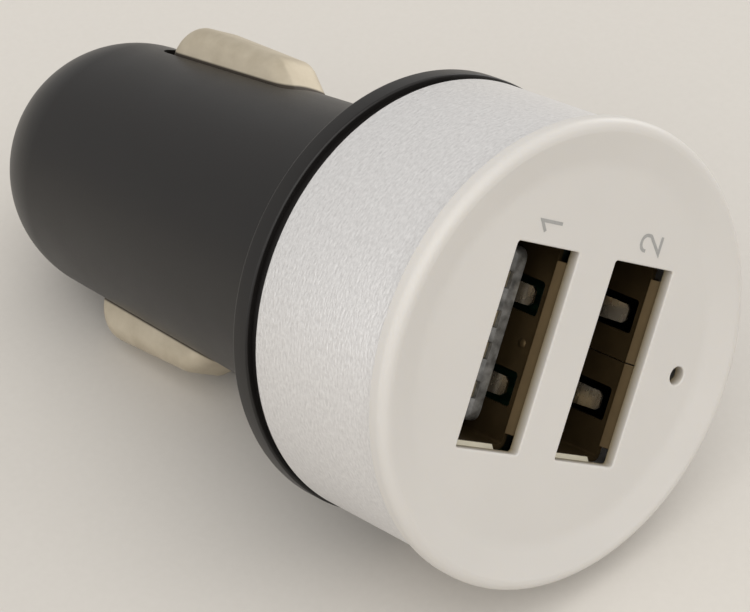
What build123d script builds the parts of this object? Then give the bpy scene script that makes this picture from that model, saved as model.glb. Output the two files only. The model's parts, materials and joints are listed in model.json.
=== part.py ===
from build123d import *
import math
import os

# A car charger plug with two USB sockets.
# Each piece is drawn on the plug's own axis: Z runs along the plug, out of its face, with 0 on the flat of the face.
# X runs across the two sockets and Y along them. The last section lays the plug on a table.
# Sizes are in millimetres and angles in degrees.

# Silver sleeve
sleeve_radius = 14.4
sleeve_wall = 0.5
sleeve_length = 11.45
sleeve_edge_round = 0.12
press_clearance = 0.05

# Front cap
cap_overhang = 0.5
rim_rise = 0.5
rim_round = 0.6
rim_land = 0.75
dish_slope_width = 2.1
dish_blend = 4.0
face_wall = 0.75
cap_seat_depth = 0.7
skirt_wall = 0.8
skirt_depth = 4.7

# Slots in the cap
slot_length = 12.8
slot_width = 5.3
slot_corner = 0.2
port_pitch = 8.6
pilot_radius = 0.6

# Barrel housing
collar_step = 0.15
collar_width = 1.5
collar_front_round = 0.3
collar_rear_round = 0.15
collar_rear_land = 0.2
collar_gap = 0.7
sleeve_step_height = 0.25
head_wall = 1.3
head_floor_depth = 13.2
flare_radius = 3.8
nose_radius = 9.1
nose_centre_depth = 45.2
barrel_draft = 2.2
housing_wall = 1.6

# Centre pin and its spring
pin_radius = 2.5
pin_reach = 2.0
pin_travel = 2.0
pin_flange_radius = 3.45
pin_flange_thickness = 1.0
pin_spigot_radius = 1.5
pin_spigot_length = 1.8
pin_end_round = 1.6
pin_seat_wall = 1.3
running_clearance = 0.08
seat_clearance = 0.02
guide_wall = 0.85
guide_spare = 3.6
spring_radius = 2.6
spring_wire = 0.5
spring_turns = 4.0

# Ground contacts
contact_tip_depth = 42.8
contact_root_depth = 29.2
contact_crest = 11.55
contact_crest_fall = 0.2
contact_shoulder_run = 2.6
contact_shoulder_drop = 1.9
contact_width = 4.3
contact_sheet = 0.45
contact_nose_round = 2.8
contact_shoulder_round = 2.0
contact_side_round = 1.1
contact_skirt_base = 7.8
contact_tab_length = 2.6
contact_tab_width = 2.0
contact_tab_seat = 0.7
contact_swing = 6.0
contact_swing_gap = 0.6
contact_slot_side_gap = 0.28
contact_slot_root_gap = 0.3
contact_slot_tip_gap = 0.8
contact_slot_corner = 1.0

# Circuit board
board_thickness = 1.2
board_front_depth = 3.0
board_guide_gap = 1.4
board_half_width = 7.9
tab_end_gap = 0.6
tab_seat_gap = 0.05

# USB sockets
port_opening_width = 5.12
port_opening_length = 12.5
shell_wall = 0.3
shell_corner = 0.25
shell_seam = 0.08
shell_rear_depth = 13.0
lip_length = 0.65
lip_flare = 0.5
lip_gap = 0.1
lip_notch = 0.75
leg_width = 1.6
leg_depth = 8.0
window_length = 5.5
window_width = 2.2
window_depth = 1.85
window_offset = 2.87
finger_width = 1.3
finger_sheet = 0.24
finger_bulge = 0.42
finger_end_gap = 0.7
finger_corner = 0.4
tongue_thickness = 1.84
tongue_width = 11.1
tongue_back_gap = 0.66
tongue_depth = 3.3
tongue_edge = 0.25
tongue_ramp = 0.75
insulator_block_length = 2.4
insulator_clearance = 0.06
terminal_width = 1.0
terminal_sheet = 0.25
terminal_bulge = 0.3
terminal_places = (-3.5, -1.0, 1.0, 3.5)
terminal_tail = 0.85
terminal_groove_clearance = 0.05

# Pilot light
led_radius = 0.9
led_length = 3.4
led_gap = 0.15
led_skirt_gap = 0.55
lead_radius = 0.22
lead_spacing = 1.2
lead_straight = 2.39
lead_bend_length = 4.78
lead_shell_gap = 0.7
lead_terminal_gap = 1.33

# Parts on the circuit board: length along Z, width along Y and height off the board
chip_size = (4.9, 3.9, 1.5)
inductor_size = (6.6, 6.6, 3.8)
diode_size = (4.3, 2.6, 2.1)
fuse_size = (4.5, 3.2, 1.3)
resistor_size = (2.0, 1.25, 0.5)
capacitor_size = (2.0, 1.25, 0.9)
can_radius = 2.5
can_height = 5.2
can_base = (5.3, 5.3, 0.9)
part_round = 0.25
solder_gap = 0.02

# Places on the circuit board: the face (1 towards +X, -1 towards -X), Y, and the depth behind the plug's face
board_places = {
    "converter_chip": (chip_size, 1, -1.5, 21.5),
    "rectifier_diode": (diode_size, 1, 2.6, 26.6),
    "input_fuse": (fuse_size, 1, 0.0, 40.5),
    "power_inductor": (inductor_size, -1, 0.0, 29.5),
    "chip_resistor_1": (resistor_size, 1, 3.2, 20.0),
    "chip_resistor_2": (resistor_size, 1, 3.2, 22.6),
    "chip_resistor_3": (resistor_size, 1, -4.6, 21.0),
    "chip_capacitor_1": (capacitor_size, 1, -3.0, 26.6),
    "chip_capacitor_2": (capacitor_size, 1, 0.0, 31.5),
}
can_places = {
    "output_capacitor": (-1, 0.0, 22.0),
    "input_capacitor": (-1, 0.0, 37.0),
}

# Radii, and heights along the axis, worked out from the sizes above
cap_radius = sleeve_radius + cap_overhang
collar_radius = sleeve_radius + collar_step
cap_seat = -cap_seat_depth
sleeve_rear = cap_seat - sleeve_length
collar_front = sleeve_rear - collar_gap
collar_rear = collar_front - collar_width
nose_centre = -nose_centre_depth
nose_tip = nose_centre - nose_radius
head_floor = -head_floor_depth
pin_tip = nose_tip - pin_reach
head_radius = sleeve_radius - sleeve_wall - press_clearance
bore_radius = head_radius - head_wall
skirt_radius = bore_radius - press_clearance
pilot_offset = skirt_radius - skirt_wall - led_skirt_gap - led_radius
pin_hole_radius = pin_radius + running_clearance
guide_radius = pin_flange_radius + running_clearance
guide_seat = nose_centre - math.sqrt(nose_radius**2 - pin_hole_radius**2) + pin_seat_wall
guide_top = guide_seat + pin_flange_thickness + pin_travel + guide_spare
board_rear = guide_top + board_guide_gap
contact_hinge = -contact_root_depth + contact_tab_length - contact_tab_seat
contact_swing_in = (contact_hinge + contact_tip_depth) * math.sin(math.radians(contact_swing))
shell_rear = -shell_rear_depth
shell_mouth = -(face_wall + lip_gap + lip_length)
draft = math.radians(barrel_draft)


def barrel_radius(height, wall=0.0):
    """Radius of the drafted barrel at a height, less a wall."""
    tangent_radius = (nose_radius - wall) * math.cos(draft)
    tangent_height = nose_centre - (nose_radius - wall) * math.sin(draft)
    return tangent_radius + (height - tangent_height) * math.tan(draft)


def nose_arc(wall, inner_radius):
    """Arc of the domed nose, from a radius near the axis out to where the barrel's draft meets it."""
    radius = nose_radius - wall
    start = (inner_radius, nose_centre - math.sqrt(radius**2 - inner_radius**2))
    end = (radius * math.cos(draft), nose_centre - radius * math.sin(draft))
    return RadiusArc(start, end, -radius)


def turned(outline):
    """Solid turned about Z from an outline drawn as radius and height."""
    return revolve(Plane.XZ * outline, Axis.Z)


def corner_rounded(outline, corner, radius):
    """The outline with the corner nearest to a point rounded."""
    return fillet(outline.vertices().sort_by_distance(corner)[0], radius)


def block(x_range, y_range, z_range):
    """Box between pairs of limits."""
    limits = (x_range, y_range, z_range)
    centre = [sum(pair) / 2 for pair in limits]
    sizes = [abs(pair[1] - pair[0]) for pair in limits]
    return Pos(*centre) * Box(*sizes)


def across(points, y_centre, width):
    """Bar with an outline in X and Z, as wide as stated along Y."""
    outline = Plane.XZ * make_face(Polyline(*points, close=True))
    return Pos(0, y_centre, 0) * extrude(outline, width / 2, both=True)


def make_front_cap():
    crest_radius = cap_radius - rim_land
    floor_radius = crest_radius - dish_slope_width
    points = [
        (0, 0),
        (floor_radius, 0),
        (crest_radius, rim_rise),
        (cap_radius, rim_rise),
        (cap_radius, cap_seat),
        (skirt_radius, cap_seat),
        (skirt_radius, -skirt_depth),
        (skirt_radius - skirt_wall, -skirt_depth),
        (skirt_radius - skirt_wall, -face_wall),
        (0, -face_wall),
    ]
    outline = make_face(Polyline(*points, close=True))
    outline = corner_rounded(outline, (floor_radius, 0), dish_blend)
    outline = corner_rounded(outline, (cap_radius, rim_rise), rim_round)
    outline = corner_rounded(outline, (crest_radius, rim_rise), rim_round)
    cap = turned(outline)
    slot = extrude(RectangleRounded(slot_width, slot_length, slot_corner), rim_rise + face_wall, both=True)
    for side in (-1, 1):
        cap -= Pos(side * port_pitch / 2, 0, 0) * slot
    cap -= Pos(pilot_offset, 0, 0) * Cylinder(pilot_radius, 2 * (rim_rise + face_wall))
    return cap


def make_trim_sleeve():
    tube = Cylinder(sleeve_radius, sleeve_length) - Cylinder(sleeve_radius - sleeve_wall, sleeve_length)
    outer_edges = tube.edges().filter_by(GeomType.CIRCLE).group_by(SortBy.RADIUS)[-1]
    return Pos(0, 0, cap_seat - sleeve_length / 2) * fillet(outer_edges, sleeve_edge_round)


def make_barrel_housing():
    collar_root = barrel_radius(collar_rear)
    flare_room = collar_radius - collar_root - collar_rear_round - collar_rear_land
    step_radius = head_radius + sleeve_step_height
    nose = nose_arc(0, 0)
    walls = Polyline(
        nose @ 1,
        (collar_root, collar_rear),
        (collar_radius, collar_rear),
        (collar_radius, collar_front),
        (step_radius, collar_front),
        (step_radius, sleeve_rear),
        (head_radius, sleeve_rear),
        (head_radius, cap_seat),
        (0, cap_seat),
        nose @ 0,
    )
    outline = make_face(Curve() + [nose, walls])
    outline = corner_rounded(outline, (collar_root, collar_rear), min(flare_radius, flare_room))
    outline = corner_rounded(outline, (collar_radius, collar_rear), collar_rear_round)
    outline = corner_rounded(outline, (collar_radius, collar_front), collar_front_round)
    housing = turned(outline)

    guide_outer = guide_radius + guide_wall
    dome = nose_arc(housing_wall, guide_outer)
    hollow = Polyline(
        dome @ 1,
        (barrel_radius(head_floor, housing_wall), head_floor),
        (bore_radius, head_floor),
        (bore_radius, cap_seat),
        (0, cap_seat),
        (0, pin_tip),
        (pin_hole_radius, pin_tip),
        (pin_hole_radius, guide_seat),
        (guide_radius, guide_seat),
        (guide_radius, guide_top),
        (guide_outer, guide_top),
        dome @ 0,
    )
    housing -= turned(make_face(Curve() + [dome, hollow]))

    slot_tip = -(contact_tip_depth + contact_slot_tip_gap)
    slot_root = -(contact_root_depth - contact_slot_root_gap)
    slot_shape = RectangleRounded(
        contact_width + 2 * contact_slot_side_gap, slot_root - slot_tip, contact_slot_corner
    )
    opening = extrude(Plane.XZ * slot_shape, contact_crest)
    opening = Pos(0, 0, (slot_root + slot_tip) / 2) * opening
    for turn in (0, 180):
        housing -= Rot(0, 0, turn) * opening
    return housing


def make_centre_pin():
    flange_front = guide_seat + seat_clearance
    flange_rear = flange_front + pin_flange_thickness
    spigot_end = flange_rear + pin_spigot_length
    points = [
        (0, pin_tip),
        (pin_radius, pin_tip),
        (pin_radius, flange_front),
        (pin_flange_radius, flange_front),
        (pin_flange_radius, flange_rear),
        (pin_spigot_radius, flange_rear),
        (pin_spigot_radius, spigot_end),
        (0, spigot_end),
    ]
    outline = make_face(Polyline(*points, close=True))
    outline = corner_rounded(outline, (pin_radius, pin_tip), pin_end_round)
    return turned(outline)


def make_pin_spring():
    bottom = guide_seat + seat_clearance + pin_flange_thickness
    length = board_rear - bottom - spring_wire
    coil = Helix(pitch=length / spring_turns, height=length, radius=spring_radius)
    wire_section = Plane(coil @ 0, z_dir=coil % 0) * Circle(spring_wire / 2)
    return Pos(0, 0, bottom + spring_wire / 2) * sweep(wire_section, path=coil, is_frenet=True)


def contact_form(inset):
    """Solid of the contact's drawn form on the +Y side, drawn in by an inset on every face but its base."""
    tip = -contact_tip_depth + inset
    root = -contact_root_depth - inset
    crest = contact_crest - inset
    shoulder = root - contact_shoulder_run
    points = [
        (contact_skirt_base, tip),
        (crest, tip),
        (crest - contact_crest_fall, shoulder),
        (crest - contact_crest_fall - contact_shoulder_drop, root),
        (contact_skirt_base, root),
    ]
    outline = make_face(Polyline(*points, close=True))
    outline = corner_rounded(outline, points[1], contact_nose_round - inset)
    outline = corner_rounded(outline, points[2], contact_shoulder_round - inset)
    half_width = contact_width / 2 - inset
    form = extrude(Plane.YZ * outline, half_width, both=True)
    side_edges = form.faces().filter_by(Axis.X).edges()
    base_edges = side_edges.group_by(Axis.Y)[0]
    return fillet(side_edges - base_edges, contact_side_round - inset)


def make_ground_contact():
    leaf = contact_form(0) - contact_form(contact_sheet)
    tab_top = contact_skirt_base + contact_sheet / 2
    tab = block(
        (-contact_tab_width / 2, contact_tab_width / 2),
        (tab_top - contact_sheet, tab_top),
        (-contact_root_depth - contact_sheet, -contact_root_depth + contact_tab_length),
    )
    return leaf + tab


def make_circuit_board():
    """Board between the two sockets, with an edge under each contact's tab and a tail clear of the contacts' swing."""
    tab_seat = contact_skirt_base - contact_sheet / 2 - tab_seat_gap
    tab_end = -contact_root_depth + contact_tab_length + tab_end_gap
    tail_half_width = contact_skirt_base - contact_swing_in - contact_swing_gap
    half = board_thickness / 2
    spans = [
        (board_half_width, -board_front_depth, tab_end),
        (tab_seat, tab_end, contact_hinge),
        (tail_half_width, contact_hinge, board_rear),
    ]
    return sum((block((-half, half), (-y, y), (low, high)) for y, high, low in spans), Part())


def make_usb_shell():
    """Socket shell on the +X side."""
    half_x = port_opening_width / 2
    half_y = port_opening_length / 2
    length = shell_mouth - shell_rear
    outer = RectangleRounded(
        port_opening_width + 2 * shell_wall, port_opening_length + 2 * shell_wall, shell_corner + shell_wall
    )
    opening = RectangleRounded(port_opening_width, port_opening_length, shell_corner)
    shell = Pos(0, 0, shell_rear) * extrude(outer - opening, length)

    def lip(half_opening, width):
        points = [
            (half_opening, shell_mouth),
            (half_opening + lip_flare, shell_mouth + lip_length),
            (half_opening + lip_flare + shell_wall, shell_mouth + lip_length),
            (half_opening + shell_wall, shell_mouth),
        ]
        return across(points, 0, width)

    long_lip = lip(half_x, port_opening_length - 2 * lip_notch)
    short_lip = lip(half_y, port_opening_width - 2 * lip_notch)
    shell += [long_lip, Rot(0, 0, 180) * long_lip, Rot(0, 0, 90) * short_lip, Rot(0, 0, -90) * short_lip]

    window_top = -window_depth
    window_base = window_top - window_length
    finger_middle = (window_top + window_base) / 2
    finger_end = window_top - finger_end_gap
    finger_points = [
        (half_x, window_base - shell_wall),
        (half_x - finger_bulge, finger_middle),
        (half_x + shell_wall / 2 - finger_sheet, finger_end),
        (half_x + shell_wall / 2, finger_end),
        (half_x - finger_bulge + finger_sheet, finger_middle),
        (half_x + finger_sheet, window_base - shell_wall),
    ]
    for turn in (0, 180):
        for side in (-1, 1):
            y_centre = side * window_offset
            window = block(
                (half_x, half_x + shell_wall),
                (y_centre - window_width / 2, y_centre + window_width / 2),
                (window_base, window_top),
            )
            finger = across(finger_points, y_centre, finger_width)
            end_corners = finger.edges().group_by(Axis.Z)[-1].filter_by(Axis.X)
            shell -= Rot(0, 0, turn) * window
            shell += Rot(0, 0, turn) * fillet(end_corners, finger_corner)

    seam_sides = (-shell_seam / 2, shell_seam / 2)
    lip_top = shell_mouth + lip_length
    shell -= block((half_x, half_x + lip_flare + shell_wall), seam_sides, (shell_rear, lip_top))

    board_face = board_thickness / 2 - port_pitch / 2 + solder_gap
    for side in (-1, 1):
        shell += block(
            (board_face, -half_x),
            (side * half_y, side * (half_y + shell_wall)),
            (-leg_depth - leg_width / 2, -leg_depth + leg_width / 2),
        )
    return Pos(port_pitch / 2, 0, 0) * shell


def terminal_face():
    """Distance of the tongue's contact face from the middle of its socket."""
    return -port_opening_width / 2 + tongue_back_gap + tongue_thickness


def terminal_front():
    """Height of the base of the notches that take the strips' bent front ends."""
    return -tongue_depth - 2 * terminal_sheet


def make_usb_insulator():
    """Back block and tongue of the socket on the +X side, with a ramp and notches along the tongue's front edge."""
    face = terminal_face()
    block_front = shell_rear + insulator_block_length
    half_x = port_opening_width / 2 - insulator_clearance
    half_y = port_opening_length / 2 - insulator_clearance
    tongue = block(
        (face - tongue_thickness, face), (-tongue_width / 2, tongue_width / 2), (block_front, -tongue_depth)
    )
    ramp_edge = tongue.edges().group_by(Axis.Z)[-1].sort_by(Axis.X)[-1]
    tongue = chamfer(ramp_edge, tongue_ramp)
    tongue = chamfer(tongue.edges().group_by(Axis.Z)[-1].sort_by(Axis.X)[:-1], tongue_edge)
    back = extrude(RectangleRounded(2 * half_x, 2 * half_y, shell_corner), insulator_block_length)
    insulator = tongue + Pos(0, 0, shell_rear) * back
    groove_half = terminal_width / 2 + terminal_groove_clearance
    for place in terminal_places:
        groove_sides = (place - groove_half, place + groove_half)
        groove_top = face + terminal_sheet + terminal_groove_clearance
        insulator -= block((face, groove_top), groove_sides, (shell_rear, block_front))
        notch_base = face - tongue_ramp - terminal_groove_clearance
        insulator -= block((notch_base, face), groove_sides, (terminal_front(), -tongue_depth))
    return Pos(port_pitch / 2, 0, 0) * insulator


def make_usb_terminal(place):
    """One strip on the tongue of the socket on the +X side, bent into a notch in front and down to the board behind."""
    face = terminal_face()
    tip_base = terminal_front() + terminal_groove_clearance
    tip_front = tip_base + terminal_sheet
    tail_rear = shell_rear - terminal_tail
    board_face = board_thickness / 2 - port_pitch / 2 + solder_gap
    bulge_top = tip_base - 2 * terminal_bulge
    bulge_base = bulge_top - 4 * terminal_bulge
    points = [
        (face, tip_base),
        (face - tongue_ramp, tip_base),
        (face - tongue_ramp, tip_front),
        (face + terminal_sheet / 2, tip_front),
        (face + terminal_sheet + terminal_bulge, bulge_top),
        (face + terminal_sheet, bulge_base),
        (face + terminal_sheet, tail_rear),
        (board_face, tail_rear),
        (board_face, tail_rear + terminal_sheet),
        (face, tail_rear + terminal_sheet),
    ]
    return Pos(port_pitch / 2, 0, 0) * across(points, place, terminal_width)


def make_indicator_led():
    top = -(face_wall + led_gap)
    base = top - led_length
    straight_top = top - led_radius
    points = [(0, base), (led_radius, base), (led_radius, straight_top)]
    walls = Polyline(*points)
    dome = RadiusArc((led_radius, straight_top), (0, top), -led_radius)
    axis_line = Line((0, top), (0, base))
    body = turned(make_face(Curve() + [walls, dome, axis_line]))
    return Pos(pilot_offset, 0, 0) * body


def make_led_lead(y_place):
    """Wire from the base of the pilot light, past the socket's shell and in to the board."""
    base = -(face_wall + led_gap + led_length)
    shell_side = port_pitch / 2 + port_opening_width / 2 + shell_wall + lead_shell_gap
    bend_start = base - lead_straight
    bend_end = bend_start - lead_bend_length
    board_end = shell_rear - terminal_tail - lead_terminal_gap - lead_radius
    points = [
        (pilot_offset, y_place, base),
        (pilot_offset, y_place, bend_start),
        (shell_side, y_place, bend_end),
        (shell_side, y_place, board_end),
        (board_thickness / 2 + solder_gap, y_place, board_end),
    ]
    route = Polyline(*points)
    section = Plane(points[0], z_dir=(0, 0, -1)) * Circle(lead_radius)
    return sweep(section, path=route, transition=Transition.RIGHT)


def on_board(size, side, y_centre, depth):
    """Rounded block that stands on one face of the board."""
    length, width, height = size
    base = board_thickness / 2 + solder_gap
    low = side * base
    high = side * (base + height)
    body = block(
        (low, high),
        (y_centre - width / 2, y_centre + width / 2),
        (-depth - length / 2, -depth + length / 2),
    )
    top = body.faces().sort_by(Axis.X)[-1 if side > 0 else 0]
    return chamfer(top.edges(), part_round * min(1.0, height))


def can_on_board(side, y_centre, depth):
    """Round can on a square base, standing on one face of the board."""
    base = on_board(can_base, side, y_centre, depth)
    foot = board_thickness / 2 + solder_gap + can_base[2]
    can = Cylinder(can_radius, can_height, align=(Align.CENTER, Align.CENTER, Align.MIN))
    can = fillet(can.edges().group_by(Axis.Z)[-1], part_round)
    return base + Pos(side * foot, y_centre, -depth) * Rot(0, side * 90, 0) * can


def resting_place(pieces):
    """Where the plug's own frame lies on a table: on its collar, its nose and the edge of its lower contact."""
    collar_edge = collar_rear + collar_rear_round
    run = collar_edge - nose_centre
    reach = math.hypot(collar_radius, run)
    tilt = math.acos(nose_radius / reach) - math.atan2(run, collar_radius)
    touch_height = -contact_tip_depth + contact_nose_round
    table_depth = collar_radius - (collar_edge - touch_height) * math.tan(tilt)
    edge_x = contact_width / 2 - contact_side_round
    edge_y = contact_crest - contact_side_round
    edge_reach = math.hypot(edge_x, edge_y)
    roll = math.atan2(edge_x, edge_y) + math.acos((table_depth - contact_side_round) / edge_reach)
    across_dir = (math.cos(roll), -math.sin(roll) * math.sin(tilt), -math.sin(roll) * math.cos(tilt))
    face_dir = (0, -math.cos(tilt), math.sin(tilt))
    turn = Plane(origin=(0, 0, 0), x_dir=across_dir, z_dir=face_dir).location
    bounds = Compound(children=[turn * piece for piece in pieces]).bounding_box()
    middle = bounds.center()
    return Pos(-middle.X, -middle.Y, -bounds.min.Z) * turn


def make_pieces():
    """Every piece of the plug in the plug's own frame, by name."""
    contact = make_ground_contact()
    pieces = {
        "barrel_housing": make_barrel_housing(),
        "trim_sleeve": make_trim_sleeve(),
        "front_cap": make_front_cap(),
        "centre_pin": make_centre_pin(),
        "pin_spring": make_pin_spring(),
        "ground_contact_upper": contact,
        "ground_contact_lower": Rot(0, 0, 180) * contact,
        "circuit_board": make_circuit_board(),
        "indicator_led": make_indicator_led(),
        "led_lead_1": make_led_lead(lead_spacing / 2),
        "led_lead_2": make_led_lead(-lead_spacing / 2),
    }
    for name, place_on_board in board_places.items():
        pieces[name] = on_board(*place_on_board)
    for name, place_on_board in can_places.items():
        pieces[name] = can_on_board(*place_on_board)
    for port, turn in ((1, 180), (2, 0)):
        pieces[f"usb_shell_{port}"] = Rot(0, 0, turn) * make_usb_shell()
        pieces[f"usb_insulator_{port}"] = Rot(0, 0, turn) * make_usb_insulator()
        for number, place in enumerate(terminal_places, 1):
            pieces[f"usb_contact_{port}_{number}"] = Rot(0, 0, turn) * make_usb_terminal(place)
    return pieces


pieces = make_pieces()
place = resting_place(pieces.values())
os.makedirs("parts", exist_ok=True)
for name, piece in pieces.items():
    export_step(place * piece, f"parts/{name}.step")
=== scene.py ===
# %% [markdown]
# # A car charger plug with two USB sockets
# The plug lies on a pale table, with its face turned to the camera. Its solids come packed as a fixed
# frame: each one is loaded in place, in metres, and says where a finished piece has to sit. The visible
# pieces are remade here with finer edges and curves, and those inside keep their solids and get a finish.

# %% Load the frame
import json
from math import acos, asin, atan2, copysign, cos, degrees, pi, radians, sin, sqrt, tan, tau
import bmesh
import bpy
from mathutils import Matrix, Vector


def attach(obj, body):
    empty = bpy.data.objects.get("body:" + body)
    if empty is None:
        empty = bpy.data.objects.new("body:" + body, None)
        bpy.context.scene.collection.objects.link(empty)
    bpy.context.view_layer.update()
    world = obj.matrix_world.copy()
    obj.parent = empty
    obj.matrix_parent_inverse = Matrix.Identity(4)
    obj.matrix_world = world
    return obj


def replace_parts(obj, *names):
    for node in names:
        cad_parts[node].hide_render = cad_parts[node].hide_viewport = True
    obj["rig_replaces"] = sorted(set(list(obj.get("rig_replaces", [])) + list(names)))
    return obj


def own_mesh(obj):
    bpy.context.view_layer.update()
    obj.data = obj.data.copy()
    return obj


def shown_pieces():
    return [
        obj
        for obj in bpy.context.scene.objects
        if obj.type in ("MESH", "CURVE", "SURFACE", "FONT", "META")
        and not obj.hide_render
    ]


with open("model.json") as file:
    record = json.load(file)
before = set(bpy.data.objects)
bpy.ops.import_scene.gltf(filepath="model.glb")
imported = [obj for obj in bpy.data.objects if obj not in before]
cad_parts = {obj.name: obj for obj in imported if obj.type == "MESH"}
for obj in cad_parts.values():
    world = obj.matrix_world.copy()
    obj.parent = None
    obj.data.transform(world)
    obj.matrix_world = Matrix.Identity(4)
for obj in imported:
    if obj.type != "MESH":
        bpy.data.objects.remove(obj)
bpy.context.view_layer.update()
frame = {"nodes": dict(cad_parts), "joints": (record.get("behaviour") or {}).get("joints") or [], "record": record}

# %% [markdown]
# ## The plug's own axes
# The plug leans and is rolled on the table, but every piece of it is easiest to draw upright, on its own
# axis and in millimetres. The record's two socket mounts lie on the face, so they give those axes: X runs
# from socket to socket, Z runs out of the face, and zero is midway between them. One matrix then carries a
# finished mesh to its place.

# %% Axes from the socket mounts
MILLIMETRE = 0.001
mounts = {mount["name"]: mount for mount in frame["record"]["mounts"]}
socket_1 = Vector(mounts["usb_socket_1"]["pos_m"])
socket_2 = Vector(mounts["usb_socket_2"]["pos_m"])
face_out = Vector(mounts["usb_socket_1"]["axis"]).normalized()
across = (socket_2 - socket_1).normalized()
along = face_out.cross(across)
plug_turn = Matrix((across, along, face_out)).transposed()
plug_middle = Matrix.Translation((socket_1 + socket_2) / 2)
plug_place = plug_middle @ plug_turn.to_4x4() @ Matrix.Scale(MILLIMETRE, 4)
plug_from_row = plug_place.inverted()
port_pitch = (socket_2 - socket_1).length / MILLIMETRE


def plug_box(node):
    """Lowest and highest corner of a solid in the plug's own axes, in millimetres."""
    points = [plug_from_row @ vertex.co for vertex in frame["nodes"][node].data.vertices]
    low = Vector([min(point[axis] for point in points) for axis in range(3)])
    high = Vector([max(point[axis] for point in points) for axis in range(3)])
    return low, high


print("port pitch", round(port_pitch, 3), "face points to", [round(part, 3) for part in face_out])

# %% [markdown]
# ## The camera
# The photograph looks at the face from about forty-five degrees to its left and a little above. The slots'
# corners, the rim and the barrel's outline were matched to find where the lens stood and how long it was.
# The camera is written in the plug's axes, so it stays with the plug.

# %% Camera
scene = bpy.context.scene


def linked(name, data):
    """New object of the scene."""
    item = bpy.data.objects.new(name, data)
    scene.collection.objects.link(item)
    return item


photo_width = 750
photo_height = 612
focal_length_px = 2819.5
lens_centre_px = (378.1, 302.5)
camera_point = Vector((-124.92, 21.04, 113.96))
camera_right = Vector((0.718296, 0.285038, 0.634668))
camera_up = Vector((-0.125938, 0.950423, -0.284315))

camera_data = bpy.data.cameras.new("photo_camera")
camera_data.lens = camera_data.sensor_width * focal_length_px / photo_width
camera_data.shift_x = (photo_width / 2 - lens_centre_px[0]) / photo_width
camera_data.shift_y = (lens_centre_px[1] - photo_height / 2) / photo_width
camera_data.clip_start = 0.01
camera = linked("photo_camera", camera_data)
camera_axes = Matrix((camera_right, camera_up, camera_right.cross(camera_up))).transposed()
camera.matrix_world = Matrix.Translation(plug_place @ camera_point) @ (plug_turn @ camera_axes).to_4x4()
scene.camera = camera
print("lens", round(camera_data.lens, 1), "mm")

# %% [markdown]
# ## Finishes as expressions
# A finish is a small network of nodes. Written out link by link it is hard to read, so one class wraps a
# socket and lets sums and products of patterns be written as plain arithmetic, and another adds any other
# node in one call. Patterns are drawn on the plug's own axes in millimetres, so a scale of 5 means a grain
# a fifth of a millimetre wide.


# %% Fields and finishes
def add_node(tree, kind, settings=None, inputs=None):
    """Adds a node to a tree: its settings first, then the values or links of its sockets."""
    made = tree.nodes.new(kind)
    for name, value in (settings or {}).items():
        setattr(made, name, value)
    for name, value in (inputs or {}).items():
        if isinstance(value, bpy.types.NodeSocket):
            tree.links.new(value, made.inputs[name])
        else:
            made.inputs[name].default_value = value
    return made


class Field:
    """A socket whose value varies over a surface. Arithmetic on it adds Math nodes."""

    def __init__(self, finish, socket):
        self.finish = finish
        self.socket = socket

    def maths(self, operation, first, second):
        return self.finish.node("ShaderNodeMath", {"operation": operation}, {0: first, 1: second})

    def __add__(self, other):
        return self.maths("ADD", self, other)

    def __sub__(self, other):
        return self.maths("SUBTRACT", self, other)

    def __rsub__(self, other):
        return self.maths("SUBTRACT", other, self)

    def __mul__(self, other):
        return self.maths("MULTIPLY", self, other)

    def __gt__(self, other):
        return self.maths("GREATER_THAN", self, other)

    __radd__ = __add__
    __rmul__ = __mul__


class Finish:
    """A material built in code, with the plug's own axes in millimetres as its pattern space."""

    def __init__(self, name):
        self.material = bpy.data.materials.new(name)
        self.material.use_nodes = True
        self.tree = self.material.node_tree
        self.tree.nodes.clear()
        row_point = self.node("ShaderNodeTexCoord", output="Object")
        into_plug = {
            "Vector": row_point,
            "Location": plug_from_row.to_translation(),
            "Rotation": plug_from_row.to_euler(),
            "Scale": plug_from_row.to_scale(),
        }
        self.point = self.node("ShaderNodeMapping", inputs=into_plug)

    def node(self, kind, settings=None, inputs=None, output=0):
        """Adds a node whose inputs may be fields, and gives one of its outputs as a field."""
        sockets = {name: getattr(value, "socket", value) for name, value in (inputs or {}).items()}
        made = add_node(self.tree, kind, settings, sockets)
        return Field(self, made.outputs[output]) if made.outputs else None

    def axes(self):
        """The plug's own X, Y and Z in millimetres, each as a pattern."""
        split = {"Vector": self.point}
        return [self.node("ShaderNodeSeparateXYZ", inputs=split, output=axis) for axis in "XYZ"]

    def noise(self, scale, detail, stretch=(1, 1, 1), point=None):
        """Soft random pattern, from 0 to 1, with as many grains to a millimetre as its scale."""
        stretched = self.node("ShaderNodeMapping", inputs={"Vector": point or self.point, "Scale": stretch})
        return self.node("ShaderNodeTexNoise", inputs={"Vector": stretched, "Scale": scale, "Detail": detail})

    def mix(self, share, first, second):
        """Colour between two colours, each a pattern or three numbers."""
        ends = [end if isinstance(end, Field) else (*end, 1) for end in (first, second)]
        inputs = {"Factor": share, 6: ends[0], 7: ends[1]}
        return self.node("ShaderNodeMix", {"data_type": "RGBA"}, inputs, output=2)

    def bump(self, height, depth, strength):
        """Surface direction from a height pattern that is as deep as stated, in millimetres."""
        inputs = {"Height": height, "Distance": depth * MILLIMETRE, "Strength": strength}
        return self.node("ShaderNodeBump", inputs=inputs)

    def surface(self, **inputs):
        """Ends the network in a shader. Socket names are written with underscores."""
        named = {name.replace("_", " "): value for name, value in inputs.items()}
        shader = self.node("ShaderNodeBsdfPrincipled", inputs=named)
        self.node("ShaderNodeOutputMaterial", inputs={"Surface": shader})
        print("finish", self.material.name, "nodes", len(self.tree.nodes))
        return self.material


print("finish tools ready")

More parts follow.
